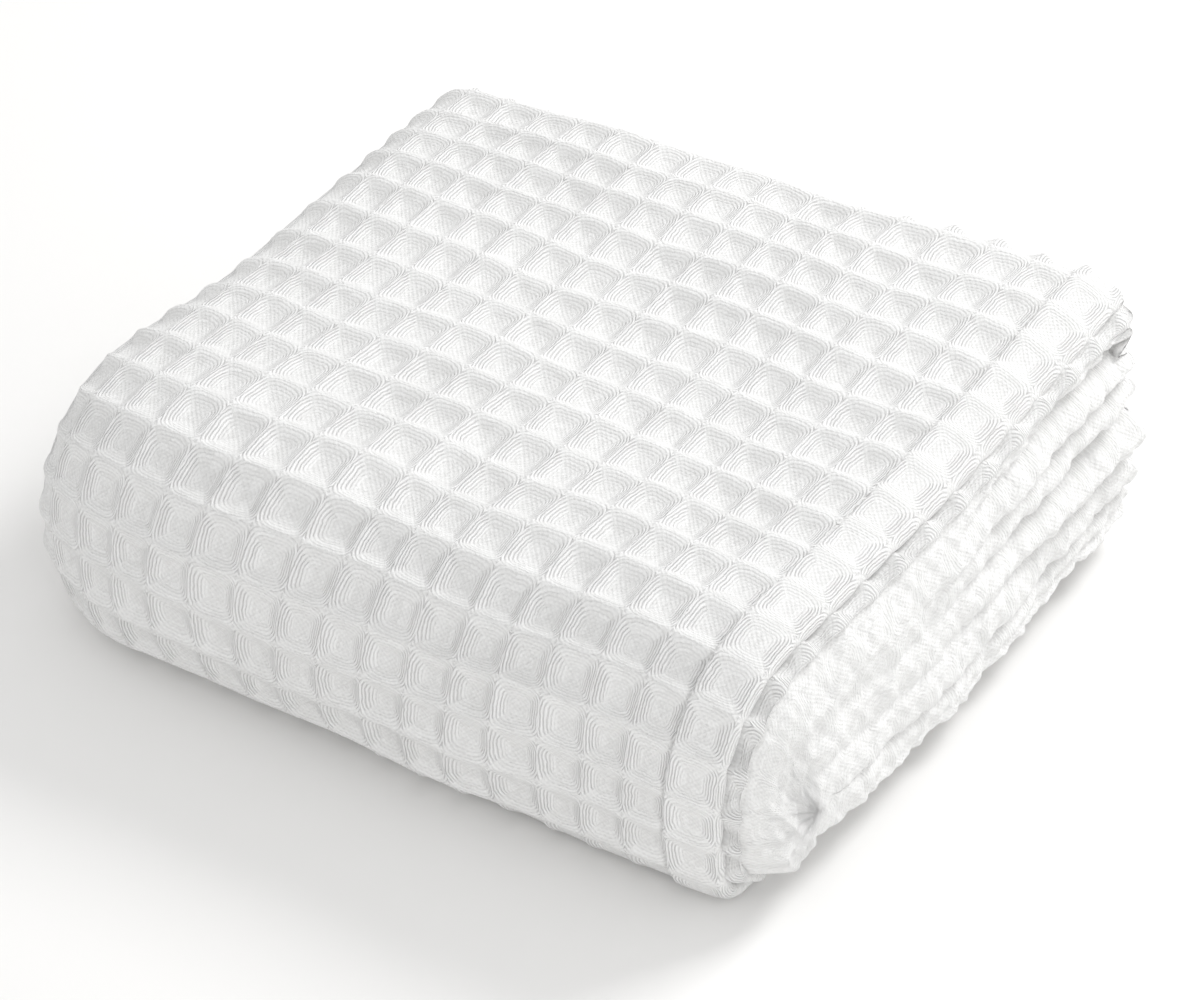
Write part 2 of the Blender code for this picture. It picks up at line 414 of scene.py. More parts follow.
def cover_place(x, along, sizes):
    """Where the cover lies; x and along are the cloth's own, run on past its rounded edges."""
    left_edge, hem_edge, *_ = cover_stops()
    across, length = weave_place(x, along, sizes)
    # The weave's depth: flatter on the hem, less so down the front, and pressed underneath.
    flat_hem = smooth((x - sizes.seam_x + FLAT_OVER / 2) / FLAT_OVER)
    near_hem = smooth((x - sizes.seam_x + NEAR_FROM) / NEAR_OVER)
    pressed = UNDER_PRESS * smooth((along - FOREMOST - PRESS_FROM) / PRESS_OVER)
    on_front = smooth((along - FRONT_FROM) / FRONT_OVER)
    flatter = (FLAT_SHARE - FRONT_LESS_FLAT * on_front) * flat_hem
    strength = (1.0 + ripple(np.floor(across), np.floor(length), DEPTH_DRIFT)) * (
        1.0 - NEAR_SHARE * near_hem - flatter - pressed
    )
    deep = sizes.hollow_depth * strength * hollow(across, length)
    # The seam, the hem's thickness and its droop.
    from_seam = x - sizes.seam_x
    pucker = 1.0 + PUCKER * np.sin(2.0 * np.pi * along / (2 * sizes.stitch_length))
    before, past_seam = np.exp(from_seam / GROOVE_BEFORE), np.exp(-from_seam / GROOVE_PAST)
    groove = np.where(from_seam < 0.0, before, past_seam)
    deep = deep + SEAM_GROOVE * groove * pucker
    deep = deep - HEM_THICK * flat_hem * smooth((HEM_END - x) / HEM_END_OVER)
    deep = deep + ripple(x, along, SOFT_SWELL) + COVER_LOW
    on_top = smooth(along / TOP_START_OVER) * smooth((TOP_END - along) / TOP_END_OVER)
    sag = smooth((x - DROOP_FROM) / DROOP_OVER) * (DROOP[0] + DROOP[1] * on_top)
    deep = deep + sag
    # The hem's edge turns under.
    foot_x, past_hem, hem_turn = rolled(x, hem_edge, HEM_ROLL)
    turned = np.minimum(hem_turn, math.pi)
    reach_x = np.where(
        hem_turn > math.pi, -(past_hem - math.pi * HEM_ROLL), HEM_ROLL * np.sin(turned)
    )
    deep = deep + HEM_ROLL * (1.0 - np.cos(turned))
    foot_x = foot_x + np.where(past_hem > 0.0, reach_x, 0.0)
    # The left and back edges turn in, and run on inside.
    past_left = np.maximum(0.0, left_edge - x)
    past_top = np.maximum(0.0, BACK_ROLL - along)
    past_under = np.maximum(0.0, along - (AROUND - BACK_ROLL))
    past_back = past_top + past_under
    past = np.hypot(past_left, past_back)
    share = past_left / np.maximum(past, 1e-9)
    radius = LEFT_ROLL * share + BACK_ROLL * (1.0 - share)
    turn = np.minimum(past / radius, math.pi)
    run_on = np.maximum(0.0, past - math.pi * radius)
    reach = (radius - deep) * np.sin(turn) - run_on
    depth_in = radius - (radius - deep) * np.cos(turn)
    foot_x = np.where(past_left > 0.0, left_edge, foot_x)
    foot_x = foot_x - reach * np.where(past > 0.0, share, 0.0)
    foot_along = np.clip(along, BACK_ROLL, AROUND - BACK_ROLL)
    back_share = np.where(past > 0.0, past_back / np.maximum(past, 1e-9), 0.0)
    foot_along = foot_along + reach * back_share * np.where(past_under > 0.0, 1.0, -1.0)
    depth_in = depth_in * np.minimum(1.0, way_in(foot_x, foot_along)[2] / THIN_ARM)
    points = under(foot_x, foot_along, depth_in)
    points[:, 2] = np.maximum(points[:, 2], 0.0)
    return points, across, length


def inner_layers(bm, sizes):
    """Adds the rest of the cloth, laid back and forth inside, out of sight."""
    weave = bm.loops.layers.uv["weave"]
    cover_faces = set(bm.faces)
    (lowest, highest), (front, back) = INSIDE_LEVELS, INSIDE_FRONT_BACK
    left, right = INSIDE_LEFT_RIGHT
    pitch = (highest - lowest) / (INSIDE_LAYERS - 1)
    line = []
    for layer in range(INSIDE_LAYERS):
        ends = (front, back) if layer % 2 == 0 else (back, front)
        level = lowest + pitch * layer
        line += [(ends[0], level), ((ends[0] + ends[1]) / 2, level), (ends[1], level)]
        outward = 1.0 if ends[1] > ends[0] else -1.0
        if layer < INSIDE_LAYERS - 1:
            line.append((ends[1] + outward * pitch / 2, level + pitch / 2))
    verts = [bm.verts.new((left, y, z)) for y, z in line]
    edges = [bm.edges.new(pair) for pair in zip(verts, verts[1:])]
    step = Vector(((right - left) / INSIDE_STEPS, 0.0, 0.0))
    for _ in range(INSIDE_STEPS):
        made = bmesh.ops.extrude_edge_only(bm, edges=edges)["geom"]
        new_verts = [item for item in made if isinstance(item, bmesh.types.BMVert)]
        edges = [
            item
            for item in made
            if isinstance(item, bmesh.types.BMEdge)
            and abs(item.verts[0].co.x - item.verts[1].co.x) < 1e-6
            and item.verts[0] in new_verts
            and item.verts[1] in new_verts
        ]
        bmesh.ops.translate(bm, verts=new_verts, vec=step)
    for new_face in (item for item in bm.faces if item not in cover_faces):
        new_face.smooth = True
        for loop in new_face.loops:
            place = loop.vert.co
            along = (place.y + place.z) / sizes.cell_length
            loop[weave].uv = (place.x / sizes.cell_width, along)


# The rim of plies that shows round both ends and the back. Each entry is a crease between two
# plies: its name and width, how far it lies from the cover (0) to the middle crease (1), and how
# deep it cuts in metres; a cut below 0 stands out. The six values are for six places round the
# packet's rim: left front, left back, back, right back, right middle and right front.
UPPER_CREASES = (
    (
        "under_cover", 0.0024,
        (0.14, 0.15, 0.17, 0.12, 0.12, 0.10),
        (0.004, 0.007, 0.009, 0.012, 0.0003, 0.0),
    ),
    (
        "upper", 0.0024,
        (0.30, 0.34, 0.36, 0.31, 0.30, 0.28),
        (0.003, 0.008, 0.009, 0.015, 0.0006, 0.0002),
    ),
    (
        "middle", 0.0028,
        (0.52, 0.55, 0.57, 0.50, 0.50, 0.45),
        (0.006, 0.009, 0.010, 0.018, 0.0012, 0.0004),
    ),
    (
        "pointed_ply", 0.0080,
        (0.64, 0.66, 0.68, 0.64, 0.62, 0.60),
        (0.000, 0.000, 0.000, -0.004, -0.0010, 0.0),
    ),
    (
        "lower", 0.0030,
        (0.75, 0.76, 0.78, 0.77, 0.74, 0.72),
        (0.003, 0.008, 0.010, 0.010, 0.0022, 0.0010),
    ),
    (
        "main", 0.0026,
        (1.01, 1.01, 1.01, 1.01, 1.01, 1.01),
        (0.002, 0.005, 0.008, 0.012, 0.0050, 0.0004),
    ),
)
LOWER_CREASES = (
    (
        "lower_arm", 0.0030,
        (0.55, 0.52, 0.50, 0.48, 0.50, 0.55),
        (0.001, 0.003, 0.005, 0.004, 0.0010, 0.0),
    ),
    (
        "main", 0.0026,
        (1.01, 1.01, 1.01, 1.01, 1.01, 1.01),
        (0.002, 0.005, 0.008, 0.010, 0.0050, 0.0004),
    ),
)

# The rim's way round the packet: its corners' radius, and the share of its columns (RIM_CLOSE)
# that the hemmed end's stretch (RIM_SPAN) gets.
RIM_CORNER = 0.006
RIM_CLOSE = (0.22, 0.78)
RIM_SPAN = (0.325, 0.675)

# The rim's six places: three shares of the way from the spine to the back, the half stretch in
# which left turns into right, and the corners in which the ends turn into the back.
PLACE_STATIONS = (0.10, 0.52, 0.93)
LAST_STATION = 0.95
LEFT_TO_RIGHT = 0.120
BACK_CORNER = 0.050
BACK_RIGHT = 0.168

# The inner folds: their two ends, how far they stand past the back edges, how deep under the
# cover they start, and the share of their rows at each edge that is tucked in, and how far.
FOLDS_LEFT, FOLDS_RIGHT = -0.1655, 0.1712
FOLDS_PAST = 0.0005
FOLDS_FIRST = 0.0140
TUCKED_ROWS = 0.06
TUCK = 0.014

# How the creases waver: how far as a share, and how fast along the rim and from crease to
# crease. How sharp they are, how far past the spine an arm is an arm, and where the middle
# crease starts behind its front end.
WAVER, WAVER_ALONG, WAVER_ACROSS = 0.020, 31.0, 7.0
CREASE_SHARPNESS = 1.25
ARM_FROM_SPINE = 0.05
NOSE_START, NOSE_OVER = 0.004, 0.030

# How far the plies next to the cover are set back, and over which share; and how far the lower
# arm bulges at the hemmed end, up to which height, and from which share on.
SET_BACK, SET_BACK_OVER = 0.0090, 0.4
LOWER_BULGE = 0.0060
BULGE_TOP, BULGE_OVER = 0.066, 0.042
BULGE_FROM = 0.30

# The flattened weave on the folds: its depth, the room it needs, how much it is stretched, and
# how far and fast its cells drift each way.
DIMPLE = 0.0010
DIMPLE_ROOM = 0.020
PLY_STRETCH = 1.15
ACROSS_WANDER = (0.05, 9.0)
ALONG_WANDER = (0.12, 2.3)

# The ply under the cover: its two ends, how far it stands past the back edges, from how deep to
# how deep it lies and its reach, and the share of its rows at each edge that run on inside.
SECOND_LEFT, SECOND_RIGHT = -0.1665, 0.1662
SECOND_PAST = 0.0002
SECOND_PLY = (0.0074, 0.0160)
SECOND_REACH = 0.0060
SECOND_INSIDE = 0.15
SECOND_RUN_ON = 0.012

# Its weave: cells for each radian of its turn, and how far each cell squashes it, opens a gap
# above it and draws it in.
SECOND_CELLS = 0.28
SECOND_SQUASH = 0.0006
SECOND_GAP = 0.0046
SECOND_DRAW = 0.0016

# Fine crumpling of the plies, as waves for ripple().
CRUMPLE = (
    (0.0007, 110.0, 85.0, 0.5),
    (0.0006, -160.0, 130.0, 1.9),
    (0.0004, 310.0, -170.0, 3.3),
    (0.0003, 420.0, 260.0, 5.1),
    (0.0003, -560.0, 380.0, 0.9),
    (0.0002, 800.0, 610.0, 2.6),
    (0.0002, -930.0, 700.0, 4.2),
)


def rim_loop(share, left, right, near, far):
    """The rim at a share of its way round, as feet and outward steps over (x, along)."""
    corner = RIM_CORNER
    half_x, half_s = (right - left) / 2 - corner, (far - near) / 2 - corner
    quarter = math.pi / 2 * corner
    around = (quarter, 2 * half_x, quarter)
    stretches = (half_s, *around, 2 * half_s, *around, half_s)
    ends = np.concatenate(([0.0], np.cumsum(stretches)))
    at = share * ends[-1]
    middle_x, middle_s = (left + right) / 2, (near + far) / 2
    turn = np.zeros_like(at)
    centre_x = np.full_like(at, middle_x - half_x)
    centre_s = np.full_like(at, middle_s)
    for index in range(len(stretches)):
        inside = (at >= ends[index]) & (at <= ends[index + 1])
        way = at - ends[index]
        if index in (0, 8):
            from_middle = -way if index == 0 else half_s - way
            centre_s = np.where(inside, middle_s + from_middle, centre_s)
            centre_x = np.where(inside, middle_x - half_x, centre_x)
            turn = np.where(inside, 0.0 if index == 0 else 2 * math.pi, turn)
        elif index in (1, 3, 5, 7):
            quarter_turn = (index - 1) / 2 * math.pi / 2
            corner_x = middle_x + (-half_x if index in (1, 7) else half_x)
            corner_s = middle_s + (-half_s if index in (1, 3) else half_s)
            centre_x = np.where(inside, corner_x, centre_x)
            centre_s = np.where(inside, corner_s, centre_s)
            turn = np.where(inside, quarter_turn + way / corner, turn)
        elif index in (2, 6):
            rightward = 1.0 if index == 2 else -1.0
            centre_x = np.where(inside, middle_x + rightward * (way - half_x), centre_x)
            centre_s = np.where(inside, middle_s - rightward * half_s, centre_s)
            turn = np.where(inside, math.pi / 2 if index == 2 else 3 * math.pi / 2, turn)
        else:
            centre_x = np.where(inside, middle_x + half_x, centre_x)
            centre_s = np.where(inside, middle_s - half_s + way, centre_s)
            turn = np.where(inside, math.pi, turn)
    out_x, out_s = -np.cos(turn), -np.sin(turn)
    return centre_x + corner * out_x, centre_s + corner * out_s, out_x, out_s, at


def rim_mix(foot_x, foot_s):
    """How near a foot on the rim is to each of its six places, as weights that add up to 1."""
    from_spine = np.clip(np.abs(foot_s - FOREMOST) / (FOREMOST * LAST_STATION), 0.0, 1.0)
    rightness = smooth((foot_x + LEFT_TO_RIGHT) / (2 * LEFT_TO_RIGHT))
    weights = [smooth(np.interp(from_spine, PLACE_STATIONS, row)) for row in np.eye(3)]
    total = sum(weights)
    front, middle, back = (weight / total for weight in weights)
    on_back = back * smooth(np.minimum(foot_x - LEFT_TIP, BACK_RIGHT - foot_x) / BACK_CORNER)
    back = back - on_back
    left = 1.0 - rightness
    return (
        front * left,
        (middle + back) * left,
        on_back,
        back * rightness,
        middle * rightness,
        front * rightness,
    )


def between_edges(v, edge):
    """How far v is from one edge's rows to the other's, from 0 to 1."""
    return np.clip((v - edge) / (1.0 - 2.0 * edge), 0.0, 1.0)


def in_edges(v, edge):
    """How far v is into the first edge's rows and into the last's, each from 0 to 1."""
    return np.clip((edge - v) / edge, 0.0, 1.0), np.clip((v - 1.0 + edge) / edge, 0.0, 1.0)


def folds_place(share, through):
    """Where the inner plies' rim lies; through is 0 under the cover and 1 in the crease."""
    foot_x, foot_s, out_x, out_s, way = rim_loop(
        share, FOLDS_LEFT, FOLDS_RIGHT, -FOLDS_PAST, AROUND + FOLDS_PAST
    )
    mix = rim_mix(foot_x, foot_s)
    _, _, distance = way_in(foot_x, foot_s)
    first = FOLDS_FIRST * np.minimum(1.0, distance / THIN_ARM)
    visible = between_edges(through, TUCKED_ROWS)
    deep = first + (distance - first) * visible
    upper = foot_s < FOREMOST
    reach = np.zeros_like(share)
    spread = distance - first
    base = under(foot_x, foot_s, deep)
    past_nose = smooth((base[:, 1] - CREASE_FRONT - NOSE_START) / NOSE_OVER)
    to_arm = smooth(np.abs(foot_s - FOREMOST) / ARM_FROM_SPINE)
    for is_upper, table in ((True, UPPER_CREASES), (False, LOWER_CREASES)):
        on_arm = 0.5 + 0.5 * to_arm if is_upper else 0.5 - 0.5 * to_arm
        on_arm = np.where(upper, on_arm, 1.0 - on_arm)
        for name, width, shares, cuts in table:
            level = sum(weight * value for weight, value in zip(mix, shares))
            cut = sum(weight * value for weight, value in zip(mix, cuts))
            if name == "main":
                cut = cut * past_nose
            else:
                level = level + WAVER * np.sin(WAVER_ALONG * way + WAVER_ACROSS * level)
            off = np.abs(visible - level) * spread / width
            reach = reach - cut * on_arm * np.exp(-(off**CREASE_SHARPNESS))
    # The plies next to the cover lie further in, and the lower arm at the hemmed end bulges.
    reach = reach - SET_BACK * (1.0 - np.minimum(visible / SET_BACK_OVER, 1.0)) ** 3.0
    low_side = smooth((BULGE_TOP - base[:, 2]) / BULGE_OVER) * smooth(visible / BULGE_FROM)
    right_back, right_middle, right_front = mix[3:]
    reach = reach + LOWER_BULGE * low_side * (0.4 * right_back + right_middle + right_front)
    by_cover, by_crease = in_edges(through, TUCKED_ROWS)
    reach = reach - TUCK * (by_cover + by_crease * past_nose)
    return foot_x, foot_s, out_x, out_s, way, deep, reach


def folds_points(u, v, sizes):
    """The inner plies' rim, with its crumpling and its flattened weave."""
    u = np.interp(u, (0.0, *RIM_CLOSE, 1.0), (0.0, *RIM_SPAN, 1.0))
    foot_x, foot_s, out_x, out_s, way, deep, reach = folds_place(u, v)
    across = way / sizes.cell_length
    along = deep / sizes.cell_width * PLY_STRETCH
    base = under(foot_x, foot_s, deep)
    crumple = ripple(base[:, 1] + base[:, 0], base[:, 2], CRUMPLE)
    _, _, distance = way_in(foot_x, foot_s)
    room = smooth((distance - deep) / DIMPLE_ROOM) * smooth(deep / DIMPLE_ROOM)
    uneven_across = across + ACROSS_WANDER[0] * np.sin(ACROSS_WANDER[1] * along)
    uneven_along = along + ALONG_WANDER[0] * np.sin(ALONG_WANDER[1] * across)
    reach = reach - DIMPLE * hollow(uneven_across, uneven_along) * room + crumple
    foot_x = foot_x + out_x * reach
    foot_s = foot_s + out_s * reach
    deep = deep * way_in(foot_x, foot_s)[2] / distance
    return under(foot_x, foot_s, deep), across, along


def second_ply_points(u, v, sizes):
    """The ply just under the cover: one narrow rounded rim all the way round."""
    foot_x, foot_s, out_x, out_s, way = rim_loop(
        u, SECOND_LEFT, SECOND_RIGHT, -SECOND_PAST, AROUND + SECOND_PAST
    )
    first, last = SECOND_PLY
    turn = math.pi * between_edges(v, SECOND_INSIDE)
    run_on = SECOND_RUN_ON * sum(in_edges(v, SECOND_INSIDE))
    half = (last - first) / 2
    across = way / sizes.cell_length
    along = (turn - math.pi / 2) * SECOND_CELLS + 0.5
    sunk = hollow(across, np.full_like(across, 0.5))
    squash = SECOND_SQUASH * sunk - ripple(way, turn * 0.004, CRUMPLE) * 0.5
    distance = way_in(foot_x, foot_s)[2]
    pressed = np.minimum(1.0, distance / THIN_ARM)
    deep = (first + last) / 2 - (half - squash) * np.cos(turn)
    deep = deep + SECOND_GAP * sunk * np.maximum(np.cos(turn), 0.0)
    deep = deep * pressed
    reach = (SECOND_REACH - squash) * (np.sin(turn) - 1.0) - run_on - SECOND_DRAW * sunk
    foot_x = foot_x + out_x * reach
    foot_s = foot_s + out_s * reach
    deep = deep * way_in(foot_x, foot_s)[2] / distance
    return under(foot_x, foot_s, deep), across, along


# How clearly the floats show that run round the packet, and those along it.
FLOAT_CLEAR = (1.0, 0.40)

# Between which shares of a cell's half width the plain middle gives way to floats.
PLAIN_TO_FLOATS = (0.14, 0.34)

# How the floats wander: scale, detail and size in cells, for slow and for quick bends.
WANDER = ((2.3, 2.0, 0.09), (11.0, 3.0, 0.030))

# The plain weave's height, and what a yarn's own difference and the fibres add to it.
PLAIN_HEIGHT = 0.28
OWN_HEIGHT = 0.55
FIBRE_HEIGHT = 0.80

# How much the weave's height, a yarn's own shade and the fibres lighten the cotton. The height's
# share is painted shade: the low gaps between the yarns are coloured darker. The yarn's own shade
# and the fibres are tone that differs at random.
PAINTED_SHADE_BY_HEIGHT = 0.55
OWN_LIGHT = 0.28
FIBRE_LIGHT = 0.45


def nodes_of(material):
    """The material's node tree and its shader."""
    material.use_nodes = True
    tree = material.node_tree
    return tree, tree.nodes["Principled BSDF"]


def chain(tree, operation, first, second=None, third=None):
    """A Math node on numbers or other nodes' outputs."""
    node = tree.nodes.new("ShaderNodeMath")
    node.operation = operation
    for socket, value in zip(node.inputs, (first, second, third)):
        if value is None:
            continue
        if isinstance(value, (int, float)):
            socket.default_value = value
        else:
            tree.links.new(value, socket)
    return node.outputs[0]


def noise(tree, vector, scale, detail, roughness=0.5):
    """A Noise node's value over vector."""
    node = tree.nodes.new("ShaderNodeTexNoise")
    node.inputs["Scale"].default_value = scale
    node.inputs["Detail"].default_value = detail
    node.inputs["Roughness"].default_value = roughness
    tree.links.new(vector, node.inputs["Vector"])
    return node.outputs["Fac"]


def shaded(tree, shader, colours, factor):
    """Colours the shader from the painted shade of the gaps at 0 to the yarn's colour at 1."""
    shade = tree.nodes.new("ShaderNodeMix")
    shade.data_type = "RGBA"
    shade.inputs["A"].default_value = (*colours.gap_shade_and_tone, 1.0)
    shade.inputs["B"].default_value = (*colours.cotton, 1.0)
    tree.links.new(factor, shade.inputs["Factor"])
    tree.links.new(shade.outputs["Result"], shader.inputs["Base Color"])


def cotton_cloth(name, colours, sizes, clarity, mottle):
    """White cotton with its floats laid square within square round each cell's plain middle.

    clarity is how clearly the floats show, and mottle how lumpy the cloth is between them.
    """
    material = bpy.data.materials.new(name)
    tree, shader = nodes_of(material)
    uv = tree.nodes.new("ShaderNodeUVMap")
    uv.uv_map = "weave"
    split = tree.nodes.new("ShaderNodeSeparateXYZ")
    tree.links.new(uv.outputs["UV"], split.inputs[0])
    across, along = split.outputs[0], split.outputs[1]
    cell_a, cell_b = chain(tree, "FLOOR", across), chain(tree, "FLOOR", along)
    off_a = chain(tree, "SUBTRACT", chain(tree, "SUBTRACT", across, cell_a), 0.5)
    off_b = chain(tree, "SUBTRACT", chain(tree, "SUBTRACT", along, cell_b), 0.5)
    in_a, in_b = chain(tree, "ABSOLUTE", off_a), chain(tree, "ABSOLUTE", off_b)
    lean = chain(tree, "SUBTRACT", in_a, in_b)
    side = chain(tree, "GREATER_THAN", lean, 0.0)
    high_a, high_b = chain(tree, "POWER", in_a, 4.0), chain(tree, "POWER", in_b, 4.0)
    wall = chain(tree, "POWER", chain(tree, "ADD", high_a, high_b), 1 / 4.0)
    yarns = sizes.cell_width / sizes.yarn_pitch
    bent = wall
    for scale, detail, size in WANDER:
        wobble = noise(tree, uv.outputs["UV"], scale, detail)
        bent = chain(tree, "MULTIPLY_ADD", wobble, size, bent)
    rings = chain(tree, "MULTIPLY", bent, yarns)
    waves = chain(tree, "SINE", chain(tree, "MULTIPLY", rings, math.pi))
    floats = chain(tree, "ABSOLUTE", waves)
    plain_a = chain(tree, "SINE", chain(tree, "MULTIPLY", across, math.pi * yarns))
    plain_b = chain(tree, "SINE", chain(tree, "MULTIPLY", along, math.pi * yarns))
    checks = chain(tree, "MULTIPLY", plain_a, plain_b)
    plain = chain(tree, "MULTIPLY_ADD", checks, PLAIN_HEIGHT, 0.5)
    # Floats that run round the packet stand out; those that run along it lie softer; between
    # them and in the middle of a cell the weave is plain.
    zones = []
    for sign, strength in zip((1.0, -1.0), FLOAT_CLEAR):
        zone = tree.nodes.new("ShaderNodeMapRange")
        zone.interpolation_type = "SMOOTHSTEP"
        zone.inputs["From Min"].default_value = -0.03
        zone.inputs["From Max"].default_value = 0.06
        zone.inputs["To Max"].default_value = strength
        tree.links.new(chain(tree, "MULTIPLY", lean, sign), zone.inputs["Value"])
        zones.append(zone.outputs["Result"])
    clear = chain(tree, "ADD", *zones)
    keep = tree.nodes.new("ShaderNodeMapRange")
    keep.inputs["From Min"].default_value = PLAIN_TO_FLOATS[0]
    keep.inputs["From Max"].default_value = PLAIN_TO_FLOATS[1]
    tree.links.new(wall, keep.inputs["Value"])
    clear = chain(tree, "MULTIPLY", keep.outputs["Result"], clear)
    mixed = tree.nodes.new("ShaderNodeMix")
    tree.links.new(chain(tree, "MULTIPLY", clear, clarity), mixed.inputs["Factor"])
    tree.links.new(plain, mixed.inputs["A"])
    tree.links.new(floats, mixed.inputs["B"])
    yarn_height = mixed.outputs["Result"]
    # Each yarn's own shade, and the fibres along it.
    number = chain(tree, "FLOOR", rings)
    number = chain(tree, "MULTIPLY_ADD", side, 17.0, number)
    half = chain(tree, "GREATER_THAN", off_a, 0.0)
    number = chain(tree, "MULTIPLY_ADD", half, 41.0, number)
    seed = tree.nodes.new("ShaderNodeCombineXYZ")
    tree.links.new(number, seed.inputs[0])
    tree.links.new(cell_a, seed.inputs[1])
    tree.links.new(cell_b, seed.inputs[2])
    own = tree.nodes.new("ShaderNodeTexWhiteNoise")
    own.noise_dimensions = "3D"
    tree.links.new(seed.outputs[0], own.inputs["Vector"])
    fibres = noise(tree, uv.outputs["UV"], 34.0, 4.0, 0.65)
    lumps = noise(tree, uv.outputs["UV"], 3.6, 3.0)
    height = chain(tree, "MULTIPLY_ADD", own.outputs["Value"], OWN_HEIGHT, yarn_height)
    height = chain(tree, "MULTIPLY_ADD", fibres, FIBRE_HEIGHT, height)
    height = chain(tree, "MULTIPLY_ADD", lumps, mottle, height)
    bump = tree.nodes.new("ShaderNodeBump")
    bump.inputs["Strength"].default_value = 1.0
    bump.inputs["Distance"].default_value = sizes.yarn_height
    tree.links.new(height, bump.inputs["Height"])
    tree.links.new(bump.outputs["Normal"], shader.inputs["Normal"])
    # Painted shade: the base colour darkens where the weave lies low, in the gaps between the
    # yarns, on top of the random tone of each yarn and its fibres.
    light = chain(tree, "MULTIPLY", yarn_height, PAINTED_SHADE_BY_HEIGHT)
    light = chain(tree, "MULTIPLY_ADD", own.outputs["Value"], OWN_LIGHT, light)
    light = chain(tree, "MULTIPLY_ADD", fibres, FIBRE_LIGHT, light)
    shaded(tree, shader, colours, light)
    shader.inputs["Roughness"].default_value = 0.90
    shader.inputs["Sheen Weight"].default_value = 0.25
    shader.inputs["Sheen Roughness"].default_value = 0.45
    shader.inputs["Specular IOR Level"].default_value = 0.25
    return material


def cotton_thread(colours):
    """The hem's sewing thread, with its own fine twist painted on as stripes of shade."""
    material = bpy.data.materials.new("white_thread")
    tree, shader = nodes_of(material)
    place = tree.nodes.new("ShaderNodeTexCoord")
    twist = tree.nodes.new("ShaderNodeTexWave")
    twist.inputs["Scale"].default_value = 900.0
    twist.inputs["Distortion"].default_value = 2.0
    tree.links.new(place.outputs["Object"], twist.inputs["Vector"])
    # Painted shade: the twist's grooves are coloured in the gap colour, with no relief of their
    # own.
    shaded(tree, shader, colours, twist.outputs["Fac"])
    shader.inputs["Roughness"].default_value = 0.75
    return material


# The cover's cotton, which the ply under it shares.
COVER_COTTON = "white_waffle_cotton"

# The stage: half the floor's width, the light from all round, the lamps, and the camera's turn
# round and above the blanket in degrees, what it points at, how far off it is, and its lens.
FLOOR_REACH = 6.0
STUDIO_LIGHT = 0.86
LAMPS = (
    # name, place, energy, size
    ("key", (0.42, 1.02, 1.05), 12.5, 0.5),
    ("side", (1.25, -0.85, 0.40), 3.4, 0.4),
)
CAMERA_ANGLES = (35.0, 36.5)
CAMERA_TARGET = (0.01975, -0.01445 + SECTION_SHIFT, 0.051)
CAMERA_DISTANCE = 1.36
CAMERA_SENSOR = 36.0
CAMERA_LENS = 3496.0 / 1200.0 * CAMERA_SENSOR


class BlanketSizes(bpy.types.PropertyGroup):
    """Sizes of the cloth and its weave."""

    cell_width: FloatProperty(
        name="Cell width", description="From ridge to ridge along the spine",
        default=0.01853, min=0.005, unit="LENGTH",
    )
    cell_length: FloatProperty(
        name="Cell length", description="From ridge to ridge round the packet",
        default=0.0210, min=0.005, unit="LENGTH",
    )
    hollow_depth: FloatProperty(
        name="Hollow depth", description="How far the middle of a cell lies below the ridges",
        default=0.0042, min=0.0, unit="LENGTH",
    )
    yarn_pitch: FloatProperty(
        name="Yarn pitch", description="From one yarn to the next",
        default=0.00108, min=0.0002, unit="LENGTH",
    )
    yarn_height: FloatProperty(
        name="Yarn height", description="How far the yarns stand up from the cloth",
        default=0.00046, min=0.0, unit="LENGTH",
    )
    seam_x: FloatProperty(
        name="Hem seam", description="Where the line of hem stitches runs",
        default=0.1395, unit="LENGTH",
    )
    stitch_length: FloatProperty(
        name="Stitch length", description="Length of one hem stitch",
        default=0.0024, min=0.0005, unit="LENGTH",
    )


class BlanketColours(bpy.types.PropertyGroup):
    """Colours of the cloth and the floor."""

    cotton: FloatVectorProperty(
        name="Cotton", description="Colour of the yarn", subtype="COLOR",
        default=(0.90, 0.90, 0.895), min=0.0, max=1.0,
    )
    # Painted shade: the colour the cotton darkens to in the low gaps between the yarns and in the
    # thread's twist grooves. It is also the dark end of the yarns' random tone.
    gap_shade_and_tone: FloatVectorProperty(
        name="Between yarns", description="Colour in the gaps between the yarns", subtype="COLOR",
        default=(0.66, 0.655, 0.645), min=0.0, max=1.0,
    )
    floor: FloatVectorProperty(
        name="Floor", description="Colour of the floor", subtype="COLOR",
        default=(0.87, 0.865, 0.855), min=0.0, max=1.0,
    )


def finished(piece):
    """Parents a piece to the root empty, so that it moves with the blanket."""
    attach(piece, "root")


def linked(name, bm, material):
    """A new object of that name from a bmesh, which it frees, in that material."""
    mesh = bpy.data.meshes.new(name)
    bm.to_mesh(mesh)
    bm.free()
    mesh.materials.append(material)
    made = bpy.data.objects.new(name, mesh)
    bpy.context.scene.collection.objects.link(made)
    return made


